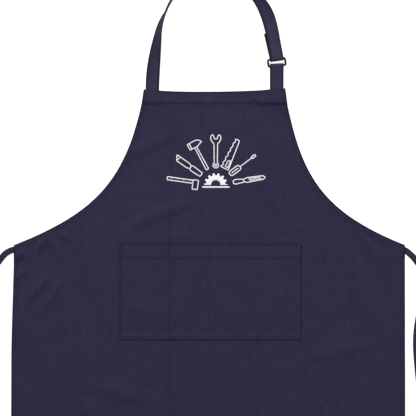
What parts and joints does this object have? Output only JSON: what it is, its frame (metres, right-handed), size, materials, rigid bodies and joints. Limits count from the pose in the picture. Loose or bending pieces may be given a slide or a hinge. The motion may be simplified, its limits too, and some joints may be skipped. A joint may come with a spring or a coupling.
{
  "type": "bib work apron",
  "caption": "Bib work apron in dark twill, laid flat on its back: curved armholes, a two-compartment patch pocket, a neck strap joined at a square ring, and long waist ties.",
  "frame": {"origin": "middle of the waist line, on the underside of the panel, where the apron rests", "axes": "+X to the right of the flat-laid apron seen from its front, +Y from the waist towards the neck, +Z out of the front of the cloth, straight up from the surface it lies on"},
  "size_m": [0.8414, 1.1798, 0.026],
  "materials": {
    "twill": "matte navy twill",
    "strap_cloth": "matte navy twill, folded and stitched",
    "black_plastic": "satin moulded plastic",
    "print": "matte white screen print"
  },
  "bodies": {
    "root": {"apron_body": "twill", "pocket_patch": "twill", "neck_strap": "strap_cloth", "ring_strap": "strap_cloth", "strap_ring": "black_plastic", "waist_tie_left": "strap_cloth", "waist_tie_right": "strap_cloth"}
  },
  "joints": []
}
